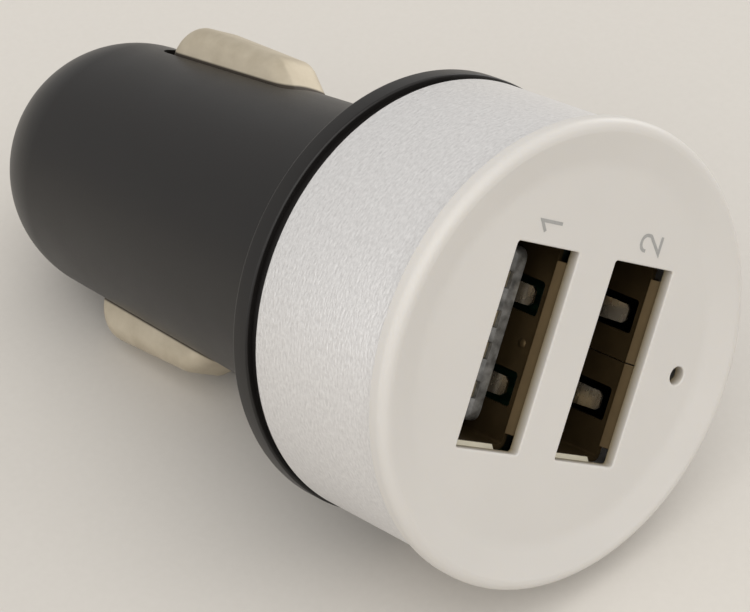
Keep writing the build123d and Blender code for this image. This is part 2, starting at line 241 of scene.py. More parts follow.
# %% [markdown]
# ## Mesh tools
# Most of this plug was turned, moulded or folded. Helpers draw such forms: a path whose corners are rounded
# by arcs, a mesh turned round the axis from such a path, and a straight prism between two planes. Others
# cut one mesh with more, and the last one carries a mesh to its place, shades it and hands it to its body.


# %% Paths
def rounded_path(corners, steps=6):
    """Points of a path through corners (across, up, round), with each round drawn as an arc."""
    points = []
    for index, (u, v, radius) in enumerate(corners):
        here = Vector((u, v))
        if radius == 0:
            points.append(here)
            continue
        before = (Vector(corners[index - 1][:2]) - here).normalized()
        after = (Vector(corners[(index + 1) % len(corners)][:2]) - here).normalized()
        half_angle = before.angle(after) / 2
        centre = here + (before + after).normalized() * radius / sin(half_angle)
        first = here + before * radius / tan(half_angle) - centre
        last = here + after * radius / tan(half_angle) - centre
        start = atan2(first.y, first.x)
        sweep = (atan2(last.y, last.x) - start + pi) % tau - pi
        for step in range(steps + 1):
            angle = start + sweep * step / steps
            points.append(centre + radius * Vector((cos(angle), sin(angle))))
    return points


def drawn_in(corners, distance):
    """Corners of an open path moved to its left by a distance, with their rounds made smaller by as much."""
    smallest_round = 0.03
    ways = [Vector(b[:2]) - Vector(a[:2]) for a, b in zip(corners, corners[1:])]
    inner = []
    for index, (u, v, radius) in enumerate(corners):
        sides = [Vector((-way.y, way.x)).normalized() for way in ways[max(index - 1, 0):index + 1]]
        middle = (sides[0] + sides[-1]).normalized()
        place = Vector((u, v)) + middle * distance / middle.dot(sides[0])
        inner.append((*place, max(radius - distance, smallest_round) if radius else 0))
    return inner


def arc(centre, radius, start, end, steps):
    """Points of an arc between two angles in degrees."""
    angles = [radians(start + (end - start) * step / steps) for step in range(steps + 1)]
    return [Vector(centre) + radius * Vector((cos(angle), sin(angle))) for angle in angles]


def rectangle(left, right, low, high):
    """Corners of a rectangle between four sides."""
    return [(left, low), (right, low), (right, high), (left, high)]


def rounded_rectangle(width, height, corner):
    """Points round a rectangle with rounded corners, centred on zero."""
    corners = rectangle(-width / 2, width / 2, -height / 2, height / 2)
    return rounded_path([(u, v, corner) for u, v in corners])


def shifted(outline, across, up):
    """Outline moved on its plane."""
    return [(u + across, v + up) for u, v in outline]


print("path tools ready")

# %% Meshes from paths
round_segments = 256
on_xy = (0, 1, 2)
on_xz = (0, 2, 1)
on_yz = (2, 0, 1)


def finished(shape, name):
    """Plain mesh of a bmesh, with its faces turned outwards."""
    bmesh.ops.recalc_face_normals(shape, faces=shape.faces)
    mesh = bpy.data.meshes.new(name)
    shape.to_mesh(mesh)
    shape.free()
    return mesh


def add_ring(shape, radius, height, segments=round_segments):
    """Ring of vertices round the axis, or one vertex where the radius is zero."""
    if radius < 1e-6:
        return [shape.verts.new((0, 0, height))]
    angles = [tau * step / segments for step in range(segments)]
    return [shape.verts.new((radius * cos(angle), radius * sin(angle), height)) for angle in angles]


def join_rings(shape, first, second):
    """Faces between two rings of one count, or a ring and one vertex."""
    for step in range(max(len(first), len(second))):
        places = ((first, step), (first, step + 1), (second, step + 1), (second, step))
        corners = [ring[place % len(ring)] for ring, place in places]
        shape.faces.new(list(dict.fromkeys(corners)))


def join_stack(shape, rings, closed=False):
    """Faces from each ring to the next, and from the last back to the first in a closed stack."""
    following = rings[1:] + rings[:1] if closed else rings[1:]
    for first, second in zip(rings, following):
        join_rings(shape, first, second)


def join_rows(shape, rows):
    """Faces from each open row of vertices to the next."""
    for first, second in zip(rows, rows[1:]):
        for quad in zip(first, first[1:], second[1:], second):
            shape.faces.new(quad)


def turned(outline, segments=round_segments, closed=False):
    """Mesh turned round the axis from points of radius and height."""
    shape = bmesh.new()
    join_stack(shape, [add_ring(shape, radius, height, segments) for radius, height in outline], closed)
    return finished(shape, "turned")


def prism(outline, low, high, plane):
    """Solid with an outline on one plane, between two distances from it."""
    shape = bmesh.new()
    ends = []
    for w in (low, high):
        corners = [(u, v, w) for u, v in outline]
        ends.append([shape.verts.new([corner[part] for part in plane]) for corner in corners])
    join_rings(shape, *ends)
    for end in ends:
        shape.faces.new(end)
    return finished(shape, "prism")


print("round forms have", round_segments, "segments")

# %% Changes to a mesh
half_turn = Matrix.Rotation(pi, 4, "Z")
quarter_turn = Matrix.Rotation(pi / 2, 4, "Z")
bevel_angle = radians(40)


def joined(*meshes):
    """One mesh of several."""
    shape = bmesh.new()
    for mesh in meshes:
        shape.from_mesh(mesh)
    together = bpy.data.meshes.new("joined")
    shape.to_mesh(together)
    shape.free()
    return together


def moved(mesh, place):
    """Copy of a mesh at another place."""
    copy = mesh.copy()
    copy.transform(place)
    return copy


def plain_mesh(holder):
    """Mesh of an object after its modifiers. The object is removed."""
    bpy.context.view_layer.update()
    graph = bpy.context.evaluated_depsgraph_get()
    mesh = bpy.data.meshes.new_from_object(holder.evaluated_get(graph), depsgraph=graph)
    bpy.data.objects.remove(holder)
    return mesh


def modified(mesh, kind, **settings):
    """Mesh after one modifier."""
    holder = linked("holder", mesh)
    modifier = holder.modifiers.new(kind.lower(), kind)
    for name, value in settings.items():
        setattr(modifier, name, value)
    return plain_mesh(holder)


def cut(mesh, *cutters, operation="DIFFERENCE"):
    """Mesh after a Boolean with each cutter in turn."""
    for cutter in cutters:
        tool = linked("cutter", cutter)
        mesh = modified(mesh, "BOOLEAN", operation=operation, solver="EXACT", object=tool)
        bpy.data.objects.remove(tool)
    return mesh


def bevelled(mesh, width):
    """Mesh with its sharp edges rounded."""
    return modified(mesh, "BEVEL", width=width, segments=2, limit_method="ANGLE", angle_limit=bevel_angle)


def add_piece(name, mesh, material, body="plug", nodes=(), sharp=35):
    """Finished piece: carried from the plug's axes to the row, shaded, and handed to its body."""
    mesh.transform(plug_place)
    mesh.shade_smooth()
    mesh.set_sharp_from_angle(angle=radians(sharp))
    mesh.materials.clear()
    mesh.materials.append(material)
    piece = linked(name, mesh)
    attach(piece, body)
    if nodes:
        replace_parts(piece, *nodes)
    print(name, "faces", len(mesh.polygons), "stands for", list(nodes))
    return piece


print("mesh tools ready")

# %% [markdown]
# ## The black barrel
# The housing is one moulding: a domed nose, a barrel that widens by a couple of degrees so that it leaves
# its mould, a flare, a collar, and a tube under the sleeve. It is round all the way, so it is turned from
# one closed path, hollow inside, with a guide for the nose pin. The two windows for the side contacts are
# cut through its wall afterwards.

# %% Barrel finish
# Satin black moulding with a fine spark-eroded grain and slightly worn patches.
finish = Finish("housing_black")
grain = finish.noise(scale=7.0, detail=3.0)
patches = finish.noise(scale=0.25, detail=3.0)
housing_black = finish.surface(
    Base_Color=finish.mix(patches, (0.0042, 0.0034, 0.0030), (0.0085, 0.0072, 0.0064)),
    Roughness=0.32 + 0.10 * patches + 0.06 * grain,
    Specular_IOR_Level=0.40,
    Normal=finish.bump(grain, depth=0.006, strength=0.6),
)

# %% Barrel sizes and path
housing_low, housing_high = plug_box("barrel_housing")
sleeve_low, sleeve_high = plug_box("trim_sleeve")
pin_hole_radius = 2.58
guide_radius = 3.53
guide_wall = 0.85
guide_length = 6.6
pin_seat_wall = 1.3
nose_radius = 9.1
nose_centre = housing_low.z + sqrt(nose_radius**2 - pin_hole_radius**2)
barrel_draft = 2.2
housing_wall = 1.6
head_wall = 1.3
head_floor = -13.2
sleeve_wall = 0.5
press_gap = 0.05
collar_gap = 0.7
collar_width = 1.5
collar_front_round = 0.15
collar_rear_round = 0.32
sleeve_step = 0.25
flare_radius = 3.8
collar_radius = housing_high.x
head_radius = sleeve_high.x - sleeve_wall - press_gap
bore_radius = head_radius - head_wall
collar_front = sleeve_low.z - collar_gap
collar_rear = collar_front - collar_width


def barrel_radius(height, wall=0.0):
    """Radius of the drafted barrel at a height, less a wall."""
    draft = radians(barrel_draft)
    start = nose_centre - (nose_radius - wall) * sin(draft)
    return (nose_radius - wall) * cos(draft) + (height - start) * tan(draft)


def dome(wall, inner_radius, steps):
    """Arc of the nose from near the axis out to where the barrel's draft meets it."""
    radius = nose_radius - wall
    start = -degrees(acos(inner_radius / radius))
    return arc((0, nose_centre), radius, start, -barrel_draft, steps)


# Closed path of the housing, up the outside and back down the inside.
guide_outer = guide_radius + guide_wall
guide_seat = housing_low.z + pin_seat_wall
guide_top = guide_seat + guide_length
outside = dome(0, pin_hole_radius, steps=48)
inside = dome(housing_wall, guide_outer, steps=12)
step_radius = head_radius + sleeve_step
wall = [
    (*outside[-1], 0),
    (barrel_radius(collar_rear), collar_rear, flare_radius),
    (collar_radius, collar_rear, collar_rear_round),
    (collar_radius, collar_front, collar_front_round),
    (step_radius, collar_front, 0),
    (step_radius, sleeve_low.z, 0),
    (head_radius, sleeve_low.z, 0),
    (head_radius, sleeve_high.z, 0),
    (bore_radius, sleeve_high.z, 0),
    (bore_radius, head_floor, 0),
    (barrel_radius(head_floor, housing_wall), head_floor, 0),
]
guide = [
    (guide_outer, guide_top),
    (guide_radius, guide_top),
    (guide_radius, guide_seat),
    (pin_hole_radius, guide_seat),
]
barrel_outline = outside[:-1] + rounded_path(wall, steps=10) + inside[::-1]
barrel_outline += [Vector(point) for point in guide]
print("collar radius", round(collar_radius, 2), "barrel radius", round(barrel_radius(collar_rear), 2))

# %% Barrel with the windows for its contacts
contact_low, contact_high = plug_box("ground_contact_upper")
contact_root = -29.2
contact_width = 4.3
window_side_gap = 0.28
window_root_gap = 0.3
window_tip_gap = 0.8
window_corner = 1.0

low = contact_low.z - window_tip_gap
high = contact_root + window_root_gap
window = rounded_rectangle(contact_width + 2 * window_side_gap, high - low, window_corner)
window = shifted(window, 0, (low + high) / 2)
cutter = prism(window, guide_radius + 2 * guide_wall, collar_radius, on_xz)
barrel_mesh = cut(turned(barrel_outline, closed=True), cutter, moved(cutter, half_turn))
add_piece("barrel", barrel_mesh, housing_black, nodes=["barrel_housing"], sharp=25)

# %% [markdown]
# ## The silver sleeve
# A thin tube sits on the head, in satin silver that sparkles as fine bright and dark points. A smooth metal
# would look like chrome here, so the finish breaks up its shine with two fine grains: short streaks round
# the tube, drawn on its surface as if it were unrolled, and flakes that each turn a little their own way.

# %% Sleeve
finish = Finish("sleeve_silver")
x, y, z = finish.axes()
around = sleeve_high.x * x.maths("ARCTAN2", y, x * -1)
unrolled = finish.node("ShaderNodeCombineXYZ", inputs={"X": around, "Y": z})
streaks = finish.noise(scale=6.0, detail=2.0, stretch=(0.4, 1, 1), point=unrolled)
flakes = finish.noise(scale=5.0, detail=2.0)
patches = finish.noise(scale=0.18, detail=2.0)
sparkle = 2.0 * (0.6 * streaks + 0.4 * flakes) - 0.5
sleeve_silver = finish.surface(
    Base_Color=finish.mix(sparkle, (0.60, 0.59, 0.585), (0.82, 0.81, 0.805)),
    Roughness=0.26 + 0.10 * patches + 0.16 * flakes,
    Metallic=0.45,
    Normal=finish.bump(streaks + 0.6 * flakes, depth=0.05, strength=0.9),
)

sleeve_edge_round = 0.12
inner_edge_round = 0.05
sleeve_inner = sleeve_high.x - sleeve_wall
sleeve_path = rounded_path([
    (sleeve_high.x, sleeve_low.z, sleeve_edge_round),
    (sleeve_high.x, sleeve_high.z, sleeve_edge_round),
    (sleeve_inner, sleeve_high.z, inner_edge_round),
    (sleeve_inner, sleeve_low.z, inner_edge_round),
])
add_piece("sleeve", turned(sleeve_path, closed=True), sleeve_silver, nodes=["trim_sleeve"])

# %% [markdown]
# ## The white front
# The cap is a shallow dish in milky plastic: a flat floor, a gentle slope up to a rounded rim, and a skirt
# that plugs the head. It is turned like the barrel, but its floor has three openings. So the turned part
# stops at a circle, and the flat between that circle and the openings is filled. Each opening is a stack of
# loops that rolls over a small round edge and down the wall, which keeps the flat shaded flat.

# %% Cap sizes
cap_low, cap_high = plug_box("front_cap")
cap_radius = cap_high.x
rim_round = 0.6
rim_land = 0.75
dish_slope_width = 2.1
dish_blend = 4.0
face_wall = 0.75
seat_round = 0.08
skirt_wall = 0.8
skirt_round = 0.2
slot_length = 12.8
slot_width = 5.3
slot_corner = 0.2
pilot_radius = 0.6
pilot_offset = 10.25
opening_edge_round = 0.1
opening_margin = 0.15
flat_radius = 11.4
print("cap radius", round(cap_radius, 2), "rim stands", round(cap_high.z, 2), "over the floor")

# %% Cap finish
# Milky white plastic with faint flow marks. It lets a little light in. Down its openings it darkens to amber with
# depth, as painted shade.
finish = Finish("cap_white")
flow = finish.noise(scale=0.12, detail=2.0)
grain = finish.noise(scale=5.0, detail=2.0)
x, y, z = finish.axes()
in_openings = (flat_radius**2 - (x * x + y * y)) > 0
white = finish.mix(flow, (0.61, 0.59, 0.56), (0.65, 0.625, 0.59))
cap_white = finish.surface(
    # Painted shade: inside the flat, the white turns to dark amber with depth down the openings' walls.
    Base_Color=finish.mix(in_openings * z * (-1 / face_wall), white, (0.27, 0.215, 0.125)),
    Roughness=0.38 + 0.08 * flow + 0.05 * grain,
    Normal=finish.bump(grain, depth=0.003, strength=0.4),
    Subsurface_Weight=0.25,
    Subsurface_Radius=(1.0, 0.9, 0.7),
    Subsurface_Scale=0.5 * MILLIMETRE,
)


# %% Cap
def opening_loops(shape, outline_at):
    """Loops of one opening, from the flat of the face over its rounded edge to the flat of the back."""
    steps = 4
    levels = [(opening_edge_round + opening_margin, 0.0)]
    for step in range(steps + 1):
        angle = pi / 2 * step / steps
        growth = opening_edge_round * (1 - sin(angle))
        levels.append((growth, -opening_edge_round * (1 - cos(angle))))
    levels += [(0.0, -face_wall), (opening_margin, -face_wall)]
    loops = [[shape.verts.new((*point, height)) for point in outline_at(growth)] for growth, height in levels]
    join_stack(shape, loops)
    return loops


def slot_outline(centre_x):
    """Outline of a slot, given how much it is grown."""
    def outline(growth):
        sizes = (slot_width + 2 * growth, slot_length + 2 * growth, slot_corner + growth)
        return shifted(rounded_rectangle(*sizes), centre_x, 0)
    return outline


def pilot_outline(growth):
    """Outline of the pilot light's hole, given how much it is grown."""
    return arc((pilot_offset, 0), pilot_radius + growth, 0, 360, steps=48)[:-1]


def loop_edges(shape, loop):
    """Edges between the neighbours of a loop of vertices."""
    return [shape.edges.get(pair) or shape.edges.new(pair) for pair in zip(loop, loop[1:] + loop[:1])]


seat = sleeve_high.z
skirt_radius = bore_radius - press_gap
crest = cap_radius - rim_land
path = rounded_path([
    (flat_radius, 0, 0),
    (crest - dish_slope_width, 0, dish_blend),
    (crest, cap_high.z, rim_round),
    (cap_radius, cap_high.z, rim_round),
    (cap_radius, seat, seat_round),
    (skirt_radius, seat, 0),
    (skirt_radius, cap_low.z, skirt_round),
    (skirt_radius - skirt_wall, cap_low.z, skirt_round),
    (skirt_radius - skirt_wall, -face_wall, 0),
], steps=10)
shape = bmesh.new()
rings = [add_ring(shape, radius, height) for radius, height in path]
join_stack(shape, rings)
outlines = [slot_outline(-port_pitch / 2), slot_outline(port_pitch / 2), pilot_outline]
openings = [opening_loops(shape, outline) for outline in outlines]
for end in (0, -1):
    edges = loop_edges(shape, rings[end])
    for loops in openings:
        edges += loop_edges(shape, loops[end])
    bmesh.ops.triangle_fill(shape, use_beauty=True, edges=edges)
cap_mesh = finished(shape, "cap")
add_piece("front", cap_mesh, cap_white, nodes=["front_cap"], sharp=40)

# %% [markdown]
# ## The port numbers
# Plain numerals are printed beside the sockets, with their tops to the left. Each is one pen stroke: a path
# through a few corners, moved half a pen's width to either side. It stands a few microns proud of the face,
# as a film of ink. The ink, like most small parts to come, is two close colours mixed by one soft pattern,
# so one function makes all such finishes.


# %% Number ink
def make_mottled(name, dark, light, scale, roughness, detail=3.0, relief=None, **constants):
    """Finish in which one pattern mixes two colours, varies the gloss and may be raised in relief."""
    finish = Finish(name)
    mottle = finish.noise(scale, detail)
    least, most = roughness
    inputs = {"Base_Color": finish.mix(mottle, dark, light), "Roughness": least + (most - least) * mottle}
    if relief:
        inputs["Normal"] = finish.bump(mottle, *relief)
    return finish.surface(**inputs, **constants)


number_ink = make_mottled("number_ink", (0.28, 0.28, 0.27), (0.40, 0.395, 0.38), 4.0, (0.45, 0.60))

# %% Port numbers
number_height = 1.75
pen_width = 0.21
ink_film = 0.012
ink_root = 0.02
bowl = 0.28
bowl_round = 0.26
strokes = {
    "1": [(-0.30, 0.22, 0), (0.06, 0.5, 0), (0.06, -0.5, 0)],
    "2": [
        (-bowl, 0.2, 0),
        (-bowl, 0.5, bowl_round),
        (bowl, 0.5, bowl_round),
        (bowl, 0.1, bowl_round / 2),
        (-0.30, -0.5, 0),
        (0.32, -0.5, 0),
    ],
}
number_places = {"1": (-4.7, 7.75, 0), "2": (4.2, 7.8, 0)}
for number, stroke in strokes.items():
    middle = [(u * number_height, v * number_height, 0) for u, v in rounded_path(stroke, steps=10)]
    shape = bmesh.new()
    rows = []
    for side, heights in ((1, (-ink_root, ink_film)), (-1, (ink_film, -ink_root))):
        edge = drawn_in(middle, side * pen_width / 2)
        rows += [[shape.verts.new((u, v, height)) for u, v, radius in edge] for height in heights]
    join_rows(shape, rows + rows[:1])
    for end in (0, -1):
        shape.faces.new([row[end] for row in rows])
    number_mesh = finished(shape, "number")
    number_mesh.transform(Matrix.Translation(number_places[number]) @ quarter_turn)
    add_piece(f"port_number_{number}", number_mesh, number_ink)

# %% [markdown]
# ## The side contacts
# Each ground contact is drawn from sheet into a hollow boat: a crest that rides on the car socket's wall, a
# round nose, a shoulder and two flat flanks. It follows one path, so the mesh is a row of that path at each
# step round its side edge, drawn in as it turns down, and closed by the flat flanks. A second, smaller form
# inside gives the sheet its thickness.

# %% Contact finish
# Height over the barrel and fade rate of the painted shade along the contact's gap.
gap_shade_top = 0.2
gap_shade_fade = 8.0

# Nickel plate with warm tarnish and fine lengthwise drawing marks, darkened along the gap to the barrel as painted
# shade.
finish = Finish("contact_nickel")
drawn = finish.noise(scale=6.0, detail=3.0, stretch=(1, 1, 0.12))
tarnish = 1.6 * finish.noise(scale=0.6, detail=4.0) - 0.3
x, y, z = finish.axes()
radius = x.maths("SQRT", x * x + y * y, 0)
above_barrel = radius - (barrel_radius(0) + tan(radians(barrel_draft)) * z)
# Painted shade: the nickel turns nearly black within a fifth of a millimetre of the barrel's surface.
gap_shade = gap_shade_fade * (gap_shade_top - above_barrel) * (radius > guide_radius)
nickel = finish.mix(tarnish, (0.46, 0.40, 0.30), (0.62, 0.555, 0.44))
contact_nickel = finish.surface(
    Base_Color=finish.mix(gap_shade, nickel, (0.05, 0.04, 0.03)),
    Roughness=0.50 + 0.10 * tarnish + 0.08 * drawn,
    Metallic=0.6,
    Normal=finish.bump(drawn, depth=0.010, strength=0.7),
)

# %% Contacts
contact_base = 7.8
contact_sheet = 0.45
contact_nose_round = 2.8
contact_shoulder_round = 2.0
contact_side_round = 1.1
contact_crest_fall = 0.2
contact_shoulder_run = 2.6
contact_shoulder_drop = 1.9
contact_root_round = 0.35
contact_tab_width = 2.0
contact_tab_round = 0.3


def add_leaf(shape, corners, sheet):
    """One side of the drawn sheet. Returns the vertices round its open base."""
    steps = 8
    inner_round = contact_side_round - sheet
    rows = []
    for step in range(-steps, steps + 1):
        turn = pi / 2 * step / steps
        x = inner_round * sin(turn) + copysign(contact_width / 2 - contact_side_round, step)
        path = rounded_path(drawn_in(corners, sheet + inner_round * (1 - cos(turn))), steps=12)
        rows.append([shape.verts.new((x, y, z)) for y, z in path])
    join_rows(shape, rows)
    shape.faces.new(rows[0])
    shape.faces.new(rows[-1])
    return [row[0] for row in rows] + [row[-1] for row in reversed(rows)]


crest = contact_high.y
fall = crest - contact_crest_fall
corners = [
    (contact_base, contact_low.z, 0),
    (crest, contact_low.z, contact_nose_round),
    (fall, contact_root - contact_shoulder_run, contact_shoulder_round),
    (fall - contact_shoulder_drop, contact_root, contact_root_round),
    (contact_base, contact_root, 0),
]
shape = bmesh.new()
bases = [add_leaf(shape, corners, sheet) for sheet in (0, contact_sheet)]
join_rings(shape, *bases)
tab_top = contact_base + contact_sheet / 2
tab_rear = contact_root - contact_sheet
tab = rounded_rectangle(contact_tab_width, contact_high.z - tab_rear, contact_tab_round)
tab = shifted(tab, 0, (contact_high.z + tab_rear) / 2)
contact_mesh = joined(finished(shape, "leaf"), prism(tab, tab_top - contact_sheet, tab_top, on_xz))
contact_meshes = {"upper": contact_mesh, "lower": moved(contact_mesh, half_turn)}
for side, mesh in contact_meshes.items():
    body = f"{side}_contact"
    nodes = [f"ground_contact_{side}"]
    add_piece(body, mesh, contact_nickel, body=body, nodes=nodes, sharp=40)

# %% [markdown]
# ## The nose pin and its spring
# The live pin slides in the nose, so its flange and spigot are turned with it. The spring behind it is a
# coil, which is a shape that follows a rule: Geometry Nodes draw a spiral of so many turns and sweep a round
# wire along it.

# %% Pin
pin_low, pin_high = plug_box("centre_pin")
pin_radius = 2.5
pin_end_round = 1.6
pin_flange_radius = 3.45
pin_flange_thickness = 1.0
pin_flange_round = 0.08
pin_spigot_radius = 1.5
pin_spigot_length = 1.8
pin_spigot_round = 0.15
flange_rear = pin_high.z - pin_spigot_length
flange_front = flange_rear - pin_flange_thickness
pin_path = rounded_path([
    (0, pin_low.z, 0),
    (pin_radius, pin_low.z, pin_end_round),
    (pin_radius, flange_front, 0),
    (pin_flange_radius, flange_front, pin_flange_round),
    (pin_flange_radius, flange_rear, pin_flange_round),
    (pin_spigot_radius, flange_rear, 0),
    (pin_spigot_radius, pin_high.z, pin_spigot_round),
    (0, pin_high.z, 0),
], steps=10)
pin_mesh = turned(pin_path, segments=128)
add_piece("nose_pin", pin_mesh, contact_nickel, body="pin", nodes=["centre_pin"])


# %% Node trees
def new_tree(name, inputs):
    """Geometry tree, and the sockets that give its named inputs."""
    tree = bpy.data.node_groups.new(name, "GeometryNodeTree")
    tree.interface.new_socket("Geometry", in_out="OUTPUT", socket_type="NodeSocketGeometry")
    for label, kind in inputs.items():
        tree.interface.new_socket(label, in_out="INPUT", socket_type=f"NodeSocket{kind}")
    print("tree", name, "inputs", list(inputs))
    return tree, tree.nodes.new("NodeGroupInput").outputs


def tree_node(tree, kind, settings=None, **links):
    """Adds a node to a geometry tree. Socket names are written with underscores."""
    return add_node(tree, kind, settings, {name.replace("_", " "): value for name, value in links.items()})


def end_tree(tree, geometry, material):
    """Ends a tree in real geometry with its finish."""
    real = tree_node(tree, "GeometryNodeRealizeInstances", Geometry=geometry)
    painted = tree_node(tree, "GeometryNodeSetMaterial", Geometry=real.outputs[0], Material=material)
    out = tree.nodes.new("NodeGroupOutput")
    tree.links.new(painted.outputs[0], out.inputs[0])


def grown(mesh, tree, values):
    """Mesh that a tree makes from a start mesh and values for its named inputs."""
    holder = linked("holder", mesh)
    modifier = holder.modifiers.new("tree", "NODES")
    modifier.node_group = tree
    for item in tree.interface.items_tree:
        if item.in_out == "INPUT" and item.name in values:
            modifier[item.identifier] = values[item.name]
    return plain_mesh(holder)


print("tree tools ready")

# %% Spring tree
spring_inputs = {label: "Float" for label in ("Turns", "Coil radius", "Wire radius", "Length")}
spring_tree, given = new_tree("coil_spring", {**spring_inputs, "Finish": "Material"})
spiral = tree_node(
    spring_tree,
    "GeometryNodeCurveSpiral",
    Resolution=48,
    Rotations=given["Turns"],
    Start_Radius=given["Coil radius"],
    End_Radius=given["Coil radius"],
    Height=given["Length"],
)
wire_radius = given["Wire radius"]
wire = tree_node(spring_tree, "GeometryNodeCurvePrimitiveCircle", Resolution=16, Radius=wire_radius)
sweep = {"Curve": spiral.outputs[0], "Profile_Curve": wire.outputs[0], "Fill_Caps": True}
swept = tree_node(spring_tree, "GeometryNodeCurveToMesh", **sweep)
end_tree(spring_tree, swept.outputs[0], given["Finish"])

# %% Spring
spring_steel = make_mottled(
    "spring_steel", (0.40, 0.40, 0.40), (0.56, 0.56, 0.55), 8.0, (0.28, 0.43), detail=2.0, Metallic=0.9
)
spring_low, spring_high = plug_box("pin_spring")
spring_wire = 0.5
spring_sizes = {
    "Turns": 4.0,
    "Coil radius": spring_high.x - spring_wire / 2,
    "Wire radius": spring_wire / 2,
    "Length": spring_high.z - spring_low.z - spring_wire,
    "Finish": spring_steel,
}
spring_mesh = grown(bpy.data.meshes.new("coil"), spring_tree, spring_sizes)
spring_mesh.transform(Matrix.Translation((0, 0, spring_low.z + spring_wire / 2)))
spring = add_piece("coil", spring_mesh, spring_steel, nodes=["pin_spring"], sharp=60)
pin_travel = next(joint for joint in frame["joints"] if joint["name"] == "pin_slide")["range_m"][1]
spring_room = (spring_high.z - spring_low.z) * MILLIMETRE
(spring_room - pin_travel) / spring_room
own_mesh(spring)

# %% [markdown]
# ## The USB sockets
# A socket is folded from tinned sheet: a box with flared lips at its mouth, a seam on one wide side, and two
# windows in each wide side from which spring fingers are pressed inwards to grip a plug. Inside, a grey
# tongue carries four gilt strips. Both sockets are alike and stand back to back on the board, so one is
# drawn about its own middle, on the right, and half a turn makes the other. The shell's tin is a dull dark
# brown as painted shade, its fingers are rubbed by plugs, and its end lips are bright as a painted reflection.


# %% Socket finishes
def make_tinned(name, dark, light, rough, metallic):
    """Tin plate: mottled, a little brown, with rolling marks along the sheet."""
    finish = Finish(name)
    mottle = finish.noise(scale=0.9, detail=4.0)
    rolled = finish.noise(scale=5.0, detail=2.0, stretch=(1, 0.15, 1))
    return finish.surface(
        Base_Color=finish.mix(mottle, dark, light),
        Roughness=rough + 0.08 * mottle + 0.06 * rolled,
        Metallic=metallic,
        Normal=finish.bump(rolled, depth=0.005, strength=0.5),
    )


# Grey nylon, darkened as painted shade inside the socket, with light spots as painted glints and a faint sheen.
finish = Finish("insulator_grey")
cloud_and_glints = finish.noise(scale=1.6, detail=4.0)
insulator_grey = finish.surface(
    # Painted shade and painted glints: the colour stays dark, and the cloud pattern's light end gives light spots.
    Base_Color=finish.mix(3.0 * cloud_and_glints - 1.0, (0.07, 0.068, 0.062), (0.22, 0.215, 0.205)),
    Roughness=0.26 + 0.16 * cloud_and_glints,
    Normal=finish.bump(cloud_and_glints, depth=0.03, strength=0.8),
)

# Painted shade: the shell's tin is a dull dark brown, for its shadowed inside.
shell_tinned = make_tinned("shell_tinned", (0.068, 0.045, 0.019), (0.104, 0.070, 0.031), 0.36, 0.75)
tin_rubbed = make_tinned("tin_rubbed", (0.60, 0.54, 0.45), (0.74, 0.67, 0.56), 0.20, 1.0)
# Painted reflection: the end lips' tin is pale and bright, as if catching the light from above.
painted_lit_tin = make_tinned("painted_lit_tin", (0.76, 0.71, 0.56), (0.88, 0.83, 0.67), 0.34, 0.3)
terminal_gold = make_mottled(
    "terminal_gold", (0.60, 0.47, 0.26), (0.66, 0.62, 0.52), 2.0, (0.25, 0.37), Metallic=0.95
)

# %% Socket sizes
shell_low, shell_high = plug_box("usb_shell_2")
port_width = 5.12
port_length = 12.5
half_x = port_width / 2
half_y = port_length / 2
shell_wall = 0.3
shell_corner = 0.25
sheet_edge_round = 0.03
lip_length = 0.65
lip_fold = 0.12
lip_flare = 0.5
end_lip_flare = 0.75
lip_notch = 0.75
lip_front = shell_high.z
shell_mouth = lip_front - lip_length
shell_rear = shell_low.z
cut_margin = 1.0
seam_gap = 0.07
seam_step = 0.07
window_length = 5.5
window_width = 2.2
window_top = -1.85
window_offset = 2.87
window_round = 0.25
leg_width = 1.6
leg_depth = 8.0
board_face = 0.62
print("socket mouth at", round(shell_mouth, 2), "rear at", round(shell_rear, 2))


# %% Socket shell
def make_lip(half_opening, low, high, reach):
    """One flared lip on the +X side: a flat leaf folded outwards at the mouth, from one place to another."""
    root = shell_mouth - lip_fold
    inner = [(half_opening, root), (half_opening, shell_mouth), (half_opening + reach, lip_front)]
    outer = [(u + shell_wall, v) for u, v in reversed(inner)]
    corners = [(u, v, lip_fold if v == shell_mouth else 0) for u, v in inner + outer]
    return bevelled(prism(rounded_path(corners), low, high, on_xz), sheet_edge_round)


walls = (half_x - shell_wall, half_x + 2 * shell_wall)
sizes = (port_width, port_length)
outer = rounded_rectangle(*[size + 2 * shell_wall for size in sizes], shell_corner + shell_wall)
inner = rounded_rectangle(*sizes, shell_corner)
levels = [(outer, shell_mouth), (outer, shell_rear), (inner, shell_rear), (inner, shell_mouth)]
shape = bmesh.new()
loops = [[shape.verts.new((*point, height)) for point in outline] for outline, height in levels]
join_stack(shape, loops, closed=True)
window = rounded_rectangle(window_width, window_length, window_round)
window = prism(shifted(window, 0, window_top - window_length / 2), *walls, on_yz)
cutters = []
for side in (-1, 1):
    placed = moved(window, Matrix.Translation((0, side * window_offset, 0)))
    cutters += [placed, moved(placed, half_turn)]
seam = rectangle(-seam_gap / 2, seam_gap / 2, shell_rear - cut_margin, 0)
cutters.append(prism(seam, *walls, on_yz))
long_half = half_y - lip_notch
lips = [
    make_lip(half_x, seam_gap / 2, long_half, lip_flare),
    make_lip(half_x, -long_half, -seam_gap / 2, lip_flare - seam_step),
    moved(make_lip(half_x, -long_half, long_half, lip_flare), half_turn),
]
folded_mesh = joined(cut(finished(shape, "box"), *cutters), *lips)

# The lips of the two narrow sides, which open wider.
half = half_x - lip_notch
lip = moved(make_lip(half_y, -half, half, end_lip_flare), quarter_turn)
end_lips_mesh = joined(lip, moved(lip, half_turn))
print("end lips faces", len(end_lips_mesh.polygons))

# %% Press mark and legs
press_mark_radius = 0.30
press_mark_height = 0.12
press_mark_depth = 2.3

